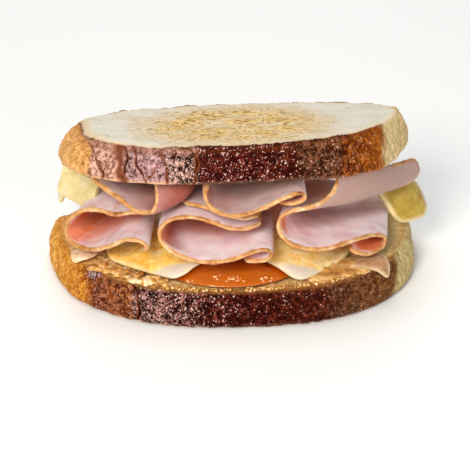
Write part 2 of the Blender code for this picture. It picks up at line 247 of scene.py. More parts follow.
def bread_material(name, crust, brow, crumb_stops, pore_shade, rim_colours, rim_amounts, toast):
    """Loaf bread, its crust baked on stone and its faces toasted.

    Each ramp in crust goes along the slice, as baking browned it: the dark base, the floury or
    blistered skin on it, how much of the skin there is, the painted highlights (bright glints that
    stand in for light on the blisters, which also set how strong the blotches are), how strong the
    edges' colours are and the gloss. The crumb is dull and pale with pores; toast browns it.
    """
    material, shader, add = new_material(name, Specular_IOR_Level=0.03)
    place = add("TexCoord").outputs["Object"]
    along, share, side, crack, inset = (add("Attribute", attribute_name=word).outputs["Fac"]
                                        for word in ("along", "share", "side", "crack", "inset"))

    # Crust: the borders between its zones wander by a few millimetres
    wander = add("TexNoise", {"Vector": place, "Scale": 1 / (7 * MM), "Detail": 4.0})
    moved = add("Math", {0: wander, 1: 0.06, 2: along}, operation="MULTIPLY_ADD")
    moved = add("Math", {0: moved, 1: 0.03}, operation="SUBTRACT")
    base, skin, cover, glints_and_blotches, brow_zone, lip, gloss = (
        add("ValToRGB", {"Fac": moved}, crust[word])
        for word in ("base", "skin", "cover", "glints_and_blotches", "brow", "lip", "gloss"))

    # Skin: grains of about 1 mm that lie thicker in patches of about 3 mm
    blotch = add("TexNoise", {"Vector": place, "Scale": 1 / (3.0 * MM), "Detail": 5.0, "Roughness": 0.65})
    grit = add("TexNoise", {"Vector": place, "Scale": 1 / (1.3 * MM), "Detail": 5.0, "Roughness": 0.75})
    amount = add("Math", {0: cover, 1: 0.3, 2: grit}, operation="MULTIPLY_ADD")
    amount = add("Math", {0: blotch, 1: 0.4, 2: amount}, operation="MULTIPLY_ADD")
    amount = add("ValToRGB", {"Fac": amount}, ((0.79, 0.0), (0.91, 1.0)))
    colour = add("Mix", {FACTOR: amount, UNDER: base, OVER: skin})
    # Darker and lighter blotches, stronger where the crust is darker
    shade = add("ValToRGB", {"Fac": blotch}, ((0.3, 0.4), (0.5, 0.95), (0.7, 1.5)))
    strength = add("Math", {0: glints_and_blotches, 1: 0.6, 2: 0.25}, operation="MULTIPLY_ADD")
    colour = add("Mix", {FACTOR: strength, UNDER: colour, OVER: shade}, blend_type="MULTIPLY")
    # Painted highlights: bright glints of about 0.7 mm, in loose clusters, painted where the blisters would
    # catch the light
    specks = add("TexNoise", {"Vector": place, "Scale": 1 / (0.8 * MM), "Detail": 2.0, "Roughness": 0.6})
    bright = add("Math", {0: blotch, 1: 0.35, 2: specks}, operation="MULTIPLY_ADD")
    bright = add("Math", {0: glints_and_blotches, 1: 0.13, 2: bright}, operation="MULTIPLY_ADD")
    bright = add("ValToRGB", {"Fac": bright}, ((0.89, 0.0), (0.96, 1.0)))
    pale = add("Mix", {FACTOR: 0.7, UNDER: skin, OVER: linear("#FFDACA")})
    colour = add("Mix", {FACTOR: bright, UNDER: colour, OVER: pale})
    # The upper edge, where the crust was cut, and the floury lip along the lower one
    brow_share = add("ValToRGB", {"Fac": share}, brow["amounts"])
    brow_share = add("Math", {0: brow_share, 1: brow_zone}, operation="MULTIPLY")
    brow_colour = add("ValToRGB", {"Fac": share}, brow["colours"])
    colour = add("Mix", {FACTOR: brow_share, UNDER: colour, OVER: brow_colour})
    low = add("ValToRGB", {"Fac": share}, ((0.05, 1.0), (0.13, 0.0)))
    low = add("Math", {0: low, 1: lip}, operation="MULTIPLY")
    colour = add("Mix", {FACTOR: low, UNDER: colour, OVER: linear("#E9B488")})
    # Cracks: orange-brown where they are shallow, and painted shade, nearly black, at the bottom
    dark = add("ValToRGB", {"Fac": crack}, ((0.0, 0.0), (0.45, 0.85), (1.0, 1.0)))
    depth = add("ValToRGB", {"Fac": crack}, ((0.5, "#84401A"), (0.8, "#200703")))
    colour = add("Mix", {FACTOR: dark, UNDER: colour, OVER: depth})

    # Crumb: cream, with pores of about 2 mm and the toasted marks
    pores = add("TexVoronoi", {"Vector": place, "Scale": 1 / (1.9 * MM), "Randomness": 1.0})
    pore = add("ValToRGB", {"Fac": pores.outputs["Distance"]}, ((0.1, pore_shade), (0.34, 1.0)))
    ground = add("TexNoise", {"Vector": place, "Scale": 1 / (9 * MM), "Detail": 5.0})
    crumb = add("ValToRGB", {"Fac": ground}, crumb_stops)
    crumb = add("Mix", {FACTOR: 1.0, UNDER: crumb, OVER: pore}, blend_type="MULTIPLY")
    crumb = toast(add, place, crumb)

    # The browned rim just inside the crust
    rim = add("ValToRGB", {"Fac": inset}, rim_amounts)
    ragged = add("ValToRGB", {"Fac": blotch}, ((0.3, 0.6), (0.55, 1.0)))
    rim = add("Math", {0: rim, 1: ragged}, operation="MULTIPLY")
    browned = add("ValToRGB", {"Fac": inset}, rim_colours)
    crumb = add("Mix", {FACTOR: rim, UNDER: crumb, OVER: browned})
    colour = add("Mix", {FACTOR: side, UNDER: crumb, OVER: colour})

    rough = add("Mix", {FACTOR: side, UNDER: linear("#C8C8C8"), OVER: gloss})
    bump = add("Bump", {"Height": specks, "Distance": 0.5 * MM, "Strength": 0.9})
    bump = add("Bump", {"Height": grit, "Distance": 0.9 * MM, "Strength": 0.8, "Normal": bump})
    set_inputs(material, shader, {"Base Color": colour, "Roughness": rough, "Normal": bump})
    return material


def lower_toast(add, place, crumb):
    """Browned, greasy patches on the lower slice's crumb, but for its pale right end."""
    marks = add("TexNoise", {"Vector": place, "Scale": 1 / (2.2 * MM), "Detail": 5.0, "Roughness": 0.75})
    browned = add("ValToRGB", {"Fac": marks}, ((0.36, "#FFF0CC"), (0.46, "#F0C272"), (0.56, "#D08C34"),
                                               (0.66, "#8E4E18")))
    along = add("SeparateXYZ", {"Vector": place}).outputs["X"]
    pale_end = add("MapRange", {"Value": along, "From Min": 52 * MM, "From Max": 60 * MM})
    crumb = add("Mix", {FACTOR: 0.8, UNDER: crumb, OVER: browned})
    return add("Mix", {FACTOR: pale_end, UNDER: crumb, OVER: linear("#DCC890")})


# Cracks in the crust: where along the slice, lean, half width, depth, from and to height
LOWER_CRACKS = (
    (-41.3, -0.1, 1.0, 1.0, 0.0, 1.0),  # the open one
    (-57.5, 0.25, 0.8, 0.55, 0.45, 0.9),
    (-50.5, -0.3, 0.8, 0.5, 0.5, 0.9))
# From the left end (0) to the right end (1), the same at the front and at the back
LOWER_CRUST = dict(
    base=((0.0, "#E29428"), (0.06, "#CC7A16"), (0.104, "#8E4208"), (0.12, "#4E2010"), (0.208, "#56240E"),
          (0.226, "#1E0604"), (0.32, "#240604"), (0.41, "#260401"), (0.54, "#2C0502"), (0.7, "#320B04"),
          (0.73, "#3C1A0C"), (0.82, "#48260F"), (0.9, "#643A1A"), (0.924, "#CCB070"), (1.0, "#CCB070")),
    skin=((0.0, "#FCC870"), (0.09, "#DC9438"), (0.12, "#A4644A"), (0.208, "#B06C3C"), (0.226, "#A4746A"),
          (0.32, "#945E56"), (0.41, "#702E20"), (0.54, "#621E10"), (0.7, "#6A2E18"), (0.73, "#704430"),
          (0.82, "#7C4E2E"), (0.9, "#946638"), (0.924, "#DEC992"), (1.0, "#DEC992")),
    cover=((0.0, 0.5), (0.2, 0.45), (0.24, 0.42), (0.4, 0.32), (0.7, 0.38), (0.74, 0.5)),
    glints_and_blotches=((0.0, 0.1), (0.1, 0.35), (0.2, 0.45), (0.226, 1.0), (0.38, 0.98), (0.44, 0.75), (0.54, 0.5),
             (0.7, 0.45), (0.84, 0.4), (0.9, 0.05)),
    brow=((0.0, 1.0), (0.89, 1.0), (0.91, 0.0)),
    lip=((0.0, 0.1), (0.6, 0.15)),
    gloss=((0.0, 0.55), (0.2, 0.5), (0.24, 0.36), (0.66, 0.34), (0.84, 0.5), (1.0, 0.6)))
LOWER_BROW = dict(amounts=((0.86, 0.0), (0.95, 0.45)), colours=((0.86, "#8A4A22"), (0.97, "#D89A50")))
CRUMB_TOP = 15.5  # the lower slice is as thick as this, and the filling starts on it
WIDEST_Y = 28.0  # where the lower slice is widest
lower_bread = bread_slice("bread_bottom", "lower_slice", euler=(0, 0, 0), origin=(0, 0, 0),
                          thickness=CRUMB_TOP, widest_y=WIDEST_Y, half_length=76.0,
                          cracks=LOWER_CRACKS, ragged=0.4, pore_depth=0.9)
lower_bread.data.materials.append(bread_material(
    "stone_baked_loaf_lower", LOWER_CRUST, LOWER_BROW,
    crumb_stops=((0.35, "#EDC88E"), (0.6, "#F8E6BE")), pore_shade=0.7,
    rim_colours=((0.08, "#CE8630"), (0.25, "#EBBB66")),
    rim_amounts=((0.0, 0.7), (0.2, 0.4), (0.6, 0.0)), toast=lower_toast))
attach(lower_bread, "root")
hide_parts("bread_bottom")

# The upper slice of bread, baked in the same loaf, leans back on the filling. The griddle
# pressed its upper face smooth and left it greyish white, with golden swirls of toasting in
# the middle and a thin dark rim.
UPPER_EULER = (math.radians(-9.0), math.radians(-0.4), 0.0)
UPPER_ORIGIN = (0.0, 0.0, 53.7)
UPPER_CRACKS = (
    (-55.0, -0.2, 0.75, 0.75, 0.05, 0.8),
    (-46.3, -0.1, 2.6, 0.62, 0.0, 1.0),  # a broad one
    (-45.0, 0.2, 0.8, 0.9, 0.3, 1.0),
    (-39.3, -0.35, 0.75, 0.9, 0.0, 0.85),
    (-33.0, 0.9, 0.7, 0.6, 0.2, 0.6),
    (-30.0, -0.15, 0.75, 0.75, 0.1, 0.75),
    (-18.0, 0.3, 1.1, 0.8, 0.0, 0.7))
UPPER_CRUST = dict(
    base=((0.0, "#DE9E50"), (0.06, "#D08A3C"), (0.08, "#B8702C"), (0.096, "#784232"), (0.156, "#84482C"),
          (0.176, "#522C28"), (0.28, "#4C2C2A"), (0.3, "#260C08"), (0.368, "#200806"), (0.384, "#2E0402"),
          (0.5, "#320603"), (0.64, "#320803"), (0.668, "#301206"), (0.76, "#3C1606"), (0.788, "#481202"),
          (0.89, "#843E0E"), (0.912, "#DCC088"), (1.0, "#D8B87C")),
    skin=((0.0, "#F4C486"), (0.08, "#EDB06A"), (0.096, "#DCAE98"), (0.156, "#DCAA98"), (0.176, "#C49A94"),
          (0.28, "#BE9290"), (0.3, "#C29688"), (0.368, "#B28070"), (0.384, "#6C2820"), (0.5, "#641E14"),
          (0.64, "#66260F"), (0.668, "#7A4A32"), (0.76, "#7E4C30"), (0.788, "#984E18"), (0.89, "#AE6420"),
          (0.912, "#E8CE9A"), (1.0, "#E4CA94")),
    cover=((0.0, 0.5), (0.09, 0.6), (0.28, 0.6), (0.3, 0.42), (0.368, 0.42), (0.384, 0.35), (0.64, 0.38),
           (0.668, 0.48)),
    glints_and_blotches=((0.0, 0.1), (0.09, 0.4), (0.28, 0.5), (0.3, 1.1), (0.368, 1.1), (0.384, 0.88), (0.64, 0.7),
             (0.668, 0.7), (0.8, 0.65), (0.9, 0.3), (0.92, 0.0)),
    brow=((0.0, 0.5), (0.1, 1.0), (0.34, 1.0), (0.4, 0.25), (0.66, 0.25), (0.72, 0.6), (0.9, 0.5),
          (0.92, 0.1)),
    lip=((0.0, 0.3), (0.09, 0.4), (0.11, 0.9), (0.28, 0.9), (0.31, 0.1)),
    gloss=((0.0, 0.5), (0.16, 0.5), (0.26, 0.42), (0.38, 0.34), (0.64, 0.3), (0.7, 0.5), (0.9, 0.5),
           (1.0, 0.6)))
UPPER_BROW = dict(amounts=((0.76, 0.0), (0.84, 0.35), (0.92, 0.4), (0.97, 0.75)),
                  colours=((0.9, "#94541F"), (0.97, "#4A1C0A")))


def upper_toast(add, place, crumb):
    """Golden swirls that the griddle left in the middle of the pressed face."""
    spot = add("Mapping", {"Vector": place, "Location": (0.02, 0.15, 0.0),
                           "Scale": (1 / (42 * MM), 1 / (36 * MM), 0.0)})
    wavy = add("TexNoise", {"Vector": place, "Scale": 1 / (8 * MM), "Detail": 4.0})
    reach = add("VectorMath", {0: spot}, operation="LENGTH")
    reach = add("Math", {0: wavy, 1: 0.8, 2: reach.outputs["Value"]}, operation="MULTIPLY_ADD")
    fade = add("MapRange", {"Value": reach, "From Min": 1.05, "From Max": 1.45, "To Min": 1.0,
                            "To Max": 0.0})
    patch = add("ValToRGB", {"Fac": wavy}, ((0.4, 0.35), (0.58, 0.95)))
    share = add("Math", {0: patch, 1: fade}, operation="MULTIPLY")
    crumb = add("Mix", {FACTOR: share, UNDER: crumb, OVER: linear("#F2CC80")})
    # Swirls: wavy lines about 1 mm wide and 2 to 4 mm apart, drawn out along the slice, from the
    # contours of a slow noise
    stretched = add("Mapping", {"Vector": place, "Scale": (0.4, 1.0, 0.3)})
    swirls = add("TexNoise", {"Vector": stretched, "Scale": 1 / (8 * MM), "Detail": 2.0, "Roughness": 0.45,
                              "Distortion": 1.3})
    rings = add("Math", {0: swirls, 1: 12.0}, operation="MULTIPLY")
    rings = add("Math", {0: rings}, operation="FRACT")
    lines = add("ValToRGB", {"Fac": rings}, ((0.0, 1.0), (0.16, 0.9), (0.22, 0.0), (0.84, 0.0), (0.9, 0.9)))
    broken = add("TexNoise", {"Vector": place, "Scale": 1 / (2.6 * MM), "Detail": 2.0})
    broken = add("ValToRGB", {"Fac": broken}, ((0.34, 0.1), (0.44, 1.0)))
    share = add("Math", {0: lines, 1: fade}, operation="MULTIPLY")
    share = add("Math", {0: share, 1: broken}, operation="MULTIPLY")
    gold = add("ValToRGB", {"Fac": wavy}, ((0.38, "#C08820"), (0.62, "#84500E")))
    crumb = add("Mix", {FACTOR: share, UNDER: crumb, OVER: gold})
    # A few small burnt pits
    pits = add("TexNoise", {"Vector": place, "Scale": 1 / (3.2 * MM), "Detail": 2.0})
    pit = add("ValToRGB", {"Fac": pits}, ((0.7, 0.0), (0.75, 0.7)))
    return add("Mix", {FACTOR: pit, UNDER: crumb, OVER: linear("#8A6230")})


def kept(piece, name):
    """Values that were kept at a piece's points."""
    values = np.empty(len(piece.data.vertices), np.float32)
    piece.data.attributes[name].data.foreach_get("value", values)
    return values.astype(float)


upper_bread = bread_slice("bread_top", "upper_slice", euler=UPPER_EULER, origin=UPPER_ORIGIN,
                          thickness=14.3, widest_y=12.0, half_length=70.0,
                          cracks=UPPER_CRACKS, ragged=0.15, pore_depth=0.15)
# Its shoulder is rounder at the left end, and its underside sags a little at the front right
points, share = points_of(upper_bread), kept(upper_bread, "share")
left_end = ease(-points[:, 0], 46.0, 62.0)
shoulder = ease(share, 0.5, 0.95) * (1.0 - ease(kept(upper_bread, "inset"), 0.0, 0.2)) * left_end
right_part = ease(points[:, 0], 8.0, 50.0) * (1.0 - ease(points[:, 0], 60.0, 70.0))
sag = (1.0 - ease(share, 0.0, 0.9)) * right_part * (1.0 - ease(points[:, 1], -25.0, 5.0))
for name, weights, depth in (("shoulder", shoulder, 1.5), ("sag", sag, 2.6)):
    apply_modifier(upper_bread, "DISPLACE", direction="Z", strength=-depth * MM, mid_level=0.0,
                   vertex_group=weigh(upper_bread, name, weights))
upper_bread.data.materials.append(bread_material(
    "stone_baked_loaf_upper", UPPER_CRUST, UPPER_BROW,
    crumb_stops=((0.35, "#DDD3BC"), (0.6, "#E8E1D2")), pore_shade=0.92,
    rim_colours=((0.03, "#5A280F"), (0.06, "#DCB27A"), (0.2, "#EAD4A8")),
    rim_amounts=((0.0, 1.0), (0.03, 0.95), (0.06, 0.75), (0.35, 0.0)), toast=upper_toast))
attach(upper_bread, "root")
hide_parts("bread_top")

# The jam: a spoonful of amber apricot jam, boiled and set, spread in a low dome on the lower
# slice. It is clear, wet and glossy, with a few small bubbles of air along its front.
jam = detailed_copy("jam", "apricot_jam", 3)
front_share = ease(-points_of(jam)[:, 1], -10.0, 20.0) * ease(points_of(jam)[:, 2], 15.9, 17.5)
roughen(jam, weigh(jam, "front", front_share), depth=0.7, grain=5.0)
jam_points = points_of(jam)
front_y = -jam_points[:, 1].min()
# Painted light: the thin front and the lower edge are painted lighter, as light goes through them, and the
# thick back and ends are painted darker
thin = ease(-jam_points[:, 1], front_y - 17.0, front_y - 2.0)
thin *= 1.0 - 0.75 * ease(np.abs(jam_points[:, 0] + 3.0), 12.0, 28.0)
mark(jam, "thin", thin)
jam_material, shader, add = new_material("apricot_jam", Roughness=0.08, IOR=1.4, Subsurface_Weight=0.2,
                                         Subsurface_Scale=2 * MM, Subsurface_Radius=(1.0, 0.35, 0.08),
                                         Coat_Weight=0.4, Coat_Roughness=0.05)
place = add("TexCoord").outputs["Object"]
thin = add("Attribute", attribute_name="thin").outputs["Fac"]
fruit = add("TexNoise", {"Vector": place, "Scale": 1 / (7 * MM), "Detail": 5.0, "Distortion": 0.8})
clear = add("Math", {0: fruit, 1: 0.7, 2: thin}, operation="MULTIPLY_ADD")
amber = add("ValToRGB", {"Fac": clear}, ((0.25, "#9A3000"), (0.5, "#AA4400"), (0.85, "#AC4A02"),
                                         (1.0, "#BC5E08")))
ripple = add("TexNoise", {"Vector": place, "Scale": 1 / (2.0 * MM), "Detail": 4.0})
bump = add("Bump", {"Height": ripple, "Distance": 0.6 * MM, "Strength": 0.5})
set_inputs(jam_material, shader, {"Base Color": amber, "Normal": bump})
jam.data.materials.append(jam_material)
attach(jam, "root")
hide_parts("jam")


def scatter(name, spots, seed, squash):
    """Small lumps at (x, y, z, radius), each turned its own way, joined into one piece."""
    draw = np.random.default_rng(seed)
    bpy.ops.object.select_all(action="DESELECT")
    lumps = []
    for x, y, z, radius in spots:
        bpy.ops.mesh.primitive_ico_sphere_add(subdivisions=2, radius=radius * MM,
                                              location=(x * MM, y * MM, z * MM),
                                              rotation=draw.uniform(-0.4, 0.4, 3))
        lump = bpy.context.object
        lump.scale = (draw.uniform(0.85, 1.3), draw.uniform(0.8, 1.1), squash)
        bpy.ops.object.transform_apply(location=True, rotation=True, scale=True)
        lumps.append(lump)
    for lump in lumps:
        lump.select_set(True)
    bpy.context.view_layer.objects.active = lumps[0]
    bpy.ops.object.join()
    piece = bpy.context.object
    piece.name = piece.data.name = name
    bpy.ops.object.shade_smooth()
    return piece


# Painted highlight: the surface of each bubble is clear jam, painted pale gold in patches for the small
# bright ring of light it shows
jam_tree = tree_of(jam_points)
bubble_draw = np.random.default_rng(7)
bubble_spots = []
for x, y, width, count in ((-2.0, -37.5, 2.6, 16), (-21.0, -38.0, 2.0, 6), (9.0, -38.5, 2.5, 5),
                           (-9.0, -36.0, 6.0, 5)):
    for _ in range(count):
        start = (x + bubble_draw.normal(0.0, width), y + bubble_draw.normal(0.0, 1.2), 17.5)
        spot = jam_tree.find(start)[0]
        bubble_spots.append((*spot, bubble_draw.uniform(0.3, 0.75)))
bubbles = scatter("jam_bubbles", bubble_spots, 8, 0.8)
bubble_material, shader, add = new_material("clear_jam_skin", Roughness=0.03, IOR=1.4, Coat_Weight=0.8)
grain = add("TexNoise", {"Scale": 1 / (1.2 * MM), "Detail": 2.0,
                         "Vector": add("TexCoord").outputs["Object"]})
bubble_highlight = add("ValToRGB", {"Fac": grain}, ((0.4, "#C86A1C"), (0.62, "#FFD8A0")))
set_inputs(bubble_material, shader, {"Base Color": bubble_highlight})
bubbles.data.materials.append(bubble_material)
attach(bubbles, "root")

# The cheese: young yellow slices of 2.4 mm, half melted between the hot bread. Two have a
# corner at the front, where the thin tips stayed white; two hang out at the sides; and two
# small tips bend over the lower crust. Heat made them lumpy, oily and round at the edges.
RIM_REACH = 6.0  # how far in from its rim the material of a thin slice changes


def rim_distance(piece, node, bare=lambda spot: False):
    """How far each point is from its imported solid's sharp edges, but for bare ones, from 0 to 1."""
    solid = detailed_copy(node, "rim_finder", 0)
    faces_at = {}
    for face in solid.data.polygons:
        for key in face.edge_keys:
            faces_at.setdefault(key, []).append(face.normal)
    spots = []
    for (a, b), sides in faces_at.items():
        if len(sides) == 2 and sides[0].angle(sides[1]) > math.radians(72):
            start, end = solid.data.vertices[a].co, solid.data.vertices[b].co
            count = 2 + int((end - start).length / (0.5 * MM))
            spots += [start.lerp(end, step / count) for step in range(count)]
    spots = [spot for spot in spots if not bare(spot / MM)]
    bpy.data.objects.remove(solid, do_unlink=True)
    tree = tree_of(spots)
    found = np.array([tree.find(vertex.co)[2] for vertex in piece.data.vertices]) / MM
    bpy.context.view_layer.objects.active = piece
    return np.minimum(found / RIM_REACH, 1.0)


def cheese_slice(node, name, tip, lumps, melt):
    """Melt a packed cheese slice: lumps, ripples and a rim that has run out thin."""
    piece = detailed_copy(node, name, 3)
    rim = rim_distance(piece, node)
    points = points_of(piece)
    away = np.clip((points[:, 1] - tip[1]) / 40.0, 0.0, 1.0) if tip else np.ones(len(points))
    mark(piece, "rim", rim)
    mark(piece, "tip", away)
    top = ease(normals_of(piece)[:, 2], -0.1, 0.5)
    melted = weigh(piece, "melted", top * (1.0 - ease(rim, 0.0, 0.6)))
    apply_modifier(piece, "DISPLACE", direction="Z", strength=-melt * MM, mid_level=0.0,
                   vertex_group=melted)
    soft = weigh(piece, "soft", top * ease(away, 0.15, 0.4))
    roughen(piece, soft, depth=lumps, grain=5.5, middle=0.55)
    roughen(piece, soft, depth=0.6 * lumps, grain=2.0)
    roughen(piece, weigh(piece, "edge", 1.0 - ease(rim, 0.1, 0.4)), depth=0.35, grain=2.4)
    return piece


def cheese_material(name, body):
    """Melted cheese: oily, with a satin gloss, paler where it is thin and browner in blotches."""
    material, shader, add = new_material(name, IOR=1.45, Subsurface_Weight=0.3, Subsurface_Scale=2.5 * MM,
                                         Subsurface_Radius=(1.0, 0.75, 0.35), Coat_Weight=0.4,
                                         Coat_Roughness=0.12)
    place = add("TexCoord").outputs["Object"]
    tip, rim = (add("Attribute", attribute_name=word).outputs["Fac"] for word in ("tip", "rim"))
    blotch = add("TexNoise", {"Vector": place, "Scale": 1 / (5 * MM), "Detail": 5.0, "Roughness": 0.6,
                              "Distortion": 0.6})
    colour = add("ValToRGB", {"Fac": blotch}, body)
    wander = add("Math", {0: blotch, 1: 0.1, 2: tip}, operation="MULTIPLY_ADD")
    white = add("ValToRGB", {"Fac": wander}, ((0.24, 1.0), (0.3, 0.0)))
    colour = add("Mix", {FACTOR: white, UNDER: colour, OVER: linear("#D6CCBA")})
    edge = add("ValToRGB", {"Fac": rim}, ((0.0, 0.75), (0.15, 0.5), (0.36, 0.0)))
    colour = add("Mix", {FACTOR: edge, UNDER: colour, OVER: linear("#EEDDB0")})
    grain = add("TexNoise", {"Vector": place, "Scale": 1 / (1.3 * MM), "Detail": 4.0})
    rough = add("ValToRGB", {"Fac": grain}, ((0.35, 0.22), (0.65, 0.42)))
    bump = add("Bump", {"Height": grain, "Distance": 0.3 * MM, "Strength": 0.4})
    set_inputs(material, shader, {"Base Color": colour, "Roughness": rough, "Normal": bump})
    return material


front_cheese = cheese_material("melted_young_cheese", ((0.3, "#E8A94C"), (0.43, "#F8C450"),
                                                       (0.55, "#FAD878"), (0.68, "#FAE8B0")))
pale_front_cheese = cheese_material("pale_melted_cheese", ((0.3, "#EEBA66"), (0.43, "#FACE70"),
                                                           (0.55, "#FBDE96"), (0.68, "#FBEEC8")))
side_cheese = cheese_material("warm_young_cheese", ((0.3, "#A8842C"), (0.5, "#C0A040"), (0.7, "#D2B65C")))
pale_cheese = cheese_material("soft_young_cheese", ((0.32, "#D0BA7A"), (0.5, "#DAC68C"), (0.68, "#E2D4A8")))
pink_cheese = cheese_material("cheese_stained_by_ham", ((0.32, "#DCA67C"), (0.5, "#ECC09A"),
                                                        (0.68, "#F6DABC")))
# Painted shade: the right corner's tip hangs in shade below the filling, so its cheese is painted darker
# and browner
corner_cheese_in_shade = cheese_material("young_cheese_in_painted_shade", ((0.32, "#A4744A"), (0.5, "#BC8A5E"),
                                                        (0.68, "#D2AC86")))
for node, tip, lumps, melt, material in (("cheese_front_left", (-25.5, -38.6), 1.0, 0.6, front_cheese),
                                         ("cheese_front_right", (21.5, -41.4), 0.8, 0.6, pale_front_cheese),
                                         ("cheese_side_left", None, 0.5, 0.3, pale_cheese),
                                         ("cheese_side_right", None, 0.7, 0.3, side_cheese),
                                         ("cheese_corner_left", None, 0.4, 0.4, pink_cheese),
                                         ("cheese_corner_right", None, 0.4, 0.4, corner_cheese_in_shade)):
    cheese = cheese_slice(node, node.replace("cheese", "melted_cheese"), tip, lumps, melt)
    cheese.data.materials.append(material)
    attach(cheese, "root")
    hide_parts(node)


def crumb_edge(x):
    """Where the front edge of the lower slice's crumb is, at this place along it."""
    middle, half_length, depth, power = 1.0, 71.6, 70.0, 2.37
    return WIDEST_Y - depth * (1.0 - abs((x - middle) / half_length) ** power) ** (1 / power)


def everywhere(piece):
    """A vertex group of the whole piece."""
    return weigh(piece, "all", np.ones(len(piece.data.vertices)))


def melted_run(name, spots, seed, squash, lumps, rounds):
    """Cheese that ran out over the crumb: flat blobs fused by a remesh, smoothed, then made uneven."""
    piece = scatter(name, spots, seed, squash)
    piece.data.remesh_voxel_size = 0.4 * MM
    bpy.ops.object.voxel_remesh()
    apply_modifier(piece, "SMOOTH", factor=0.5, iterations=rounds)
    bpy.ops.object.shade_smooth()
    group = everywhere(piece)
    roughen(piece, group, depth=lumps, grain=2.6)
    roughen(piece, group, depth=0.7 * lumps, grain=1.0)
    for attribute in ("tip", "rim"):
        mark(piece, attribute, np.ones(len(piece.data.vertices)))
    return piece


# It ran out thinly to the crust on both sides: rough and browned at the left, smooth at the right
run_draw = np.random.default_rng(11)
left_spots, right_spots = [], []
for x in np.arange(-57.0, -30.0, 1.4):
    for _ in range(2):
        y = crumb_edge(x) + run_draw.uniform(1.2, 9.0)
        left_spots.append((x, y, CRUMB_TOP + run_draw.uniform(-0.1, 0.4), run_draw.uniform(1.1, 2.4)))
for x in np.arange(28.0, 50.0, 2.0):
    for inward in (5.4, 10.0):
        y = crumb_edge(x) + inward + run_draw.uniform(-0.3, 0.3)
        right_spots.append((x, y, 15.2, run_draw.uniform(4.8, 5.4)))
browned_run = cheese_material("griddled_cheese_and_crumb", ((0.36, "#9C6220"), (0.47, "#D49A48"),
                                                            (0.57, "#EFCB90"), (0.68, "#FFF0D8")))
smooth_run = cheese_material("smooth_melted_cheese", ((0.32, "#A8682C"), (0.46, "#C68E46"),
                                                      (0.58, "#DCB272"), (0.7, "#EFD6A4")))
for name, spots, seed, squash, lumps, rounds, material in (
        ("melted_cheese_run_left", left_spots, 12, 0.55, 0.9, 3, browned_run),
        ("melted_cheese_run_right", right_spots, 13, 0.28, 0.25, 30, smooth_run)):
    run = melted_run(name, spots, seed, squash, lumps, rounds)
    run.data.materials.append(material)
    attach(run, "root")

# Toasted crumbs: broken off when the loaf was sliced, golden and dry, they lie along the front
# edge of the lower slice. A pale floury blister stands on its crust at the left.
crumb_draw = np.random.default_rng(21)
crumb_spots = []
for x in np.append(crumb_draw.uniform(-30.0, 26.0, 90), crumb_draw.uniform(26.0, 56.0, 40)):
    y, z = crumb_edge(x) + crumb_draw.uniform(-0.3, 1.8), 15.3 + crumb_draw.uniform(-0.3, 0.2)
    crumb_spots.append((x, y, z, crumb_draw.uniform(0.3, 0.9)))
blister_spots = [(-56.5 + crumb_draw.normal(0.0, 1.3), crumb_edge(-56.5) + crumb_draw.normal(-0.6, 0.8),
                  14.3 + crumb_draw.normal(0.0, 0.7), crumb_draw.uniform(0.5, 1.2)) for _ in range(26)]
GOLDEN = ((0.4, "#8E5218"), (0.48, "#C88C3C"), (0.57, "#E6BC7C"), (0.66, "#F8E2BC"))
FLOURY = ((0.4, "#4A2A24"), (0.48, "#7C5650"), (0.57, "#AE8E8A"), (0.68, "#E0CCC8"))
for name, spots, seed, stops in (("toasted_crumbs", crumb_spots, 22, GOLDEN),
                                 ("floury_blister", blister_spots, 23, FLOURY)):
    crumbs = scatter(name, spots, seed, 0.8)
    roughen(crumbs, everywhere(crumbs), depth=0.5, grain=0.8)
    crumb_material, shader, add = new_material(name + "_surface", Roughness=0.8, Specular_IOR_Level=0.2)
    grain = add("TexNoise", {"Scale": 1 / (0.9 * MM), "Detail": 4.0,
                             "Vector": add("TexCoord").outputs["Object"]})
    shade = add("ValToRGB", {"Fac": grain}, stops)
    bump = add("Bump", {"Height": grain, "Distance": 0.4 * MM, "Strength": 0.7})
    set_inputs(crumb_material, shader, {"Base Color": shade, "Normal": bump})
    crumbs.data.materials.append(crumb_material)
    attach(crumbs, "root")

# A flap of the left slice of cheese. It melted, came away from its slice and set again, lumpy
# and about 2 mm thick, where it hangs beside the ham like a curtain.


def hung_sheet(name, place, turns, size, marks, depth, grain, thickness, edge, segments):
    """A sheet of food that hangs in the filling: a grid, crumpled, thickened and rounded."""
    bpy.ops.object.select_all(action="DESELECT")
    bpy.ops.mesh.primitive_grid_add(x_subdivisions=30, y_subdivisions=40, size=1.0,
                                    location=[along * MM for along in place],
                                    rotation=[math.radians(turn) for turn in turns])
    sheet = bpy.context.object
    sheet.name = sheet.data.name = name
    sheet.scale = (size[0] * MM, size[1] * MM, 1.0)
    bpy.ops.object.transform_apply(location=True, rotation=True, scale=True)
    for attribute, value in marks.items():
        mark(sheet, attribute, np.full(len(sheet.data.vertices), value))
    roughen(sheet, everywhere(sheet), depth, grain)
    apply_modifier(sheet, "SOLIDIFY", thickness=thickness * MM, offset=0.0)
    apply_modifier(sheet, "BEVEL", width=edge * MM, segments=segments, limit_method="ANGLE")
    bpy.ops.object.shade_smooth()
    return sheet


curtain = hung_sheet("melted_cheese_curtain", (-61.5, 9.0, 38.5), (84, 14, -40), (18.0, 13.0),
                     dict(tip=1.0, rim=1.0), depth=2.5, grain=8.0, thickness=2.2, edge=0.8, segments=3)
curtain.data.materials.append(pale_cheese)
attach(curtain, "root")

# The ham: six thin slices of cooked ham, 1.8 mm, folded over and tucked in. The meat is moist
# and pale pink with a smooth cut face; its rim is the smoked outside of the ham, orange-brown,
# rough and uneven. The orange glow of light through the tight bends and into the deep folds is
# painted into the meat's colour, and so is the shade under the bread and in the folds.


